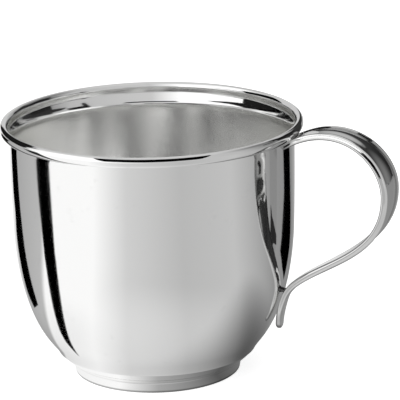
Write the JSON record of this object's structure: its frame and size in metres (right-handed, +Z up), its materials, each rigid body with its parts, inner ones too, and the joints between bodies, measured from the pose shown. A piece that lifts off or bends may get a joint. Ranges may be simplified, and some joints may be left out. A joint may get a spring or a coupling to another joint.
{
  "type": "mug",
  "caption": "Small round-bottomed drinking cup with a wire rim, a low stepped foot ring and a reeded strap handle that ends in a free tail.",
  "frame": {"origin": "middle of the space that the cup takes up, on the surface that it stands on", "axes": "+X from the bowl towards the handle, +Z up out of the mouth, +Y across the handle"},
  "size_m": [0.1004, 0.076, 0.0653],
  "materials": {
    "silver": "polished",
    "solder": "satin"
  },
  "bodies": {
    "root": {"bowl": "silver", "rim_wire": "silver", "foot_ring": "silver", "handle_strap": "silver", "rim_solder": "solder", "foot_solder": "solder", "upper_handle_solder": "solder", "lower_handle_solder": "solder"}
  },
  "joints": []
}
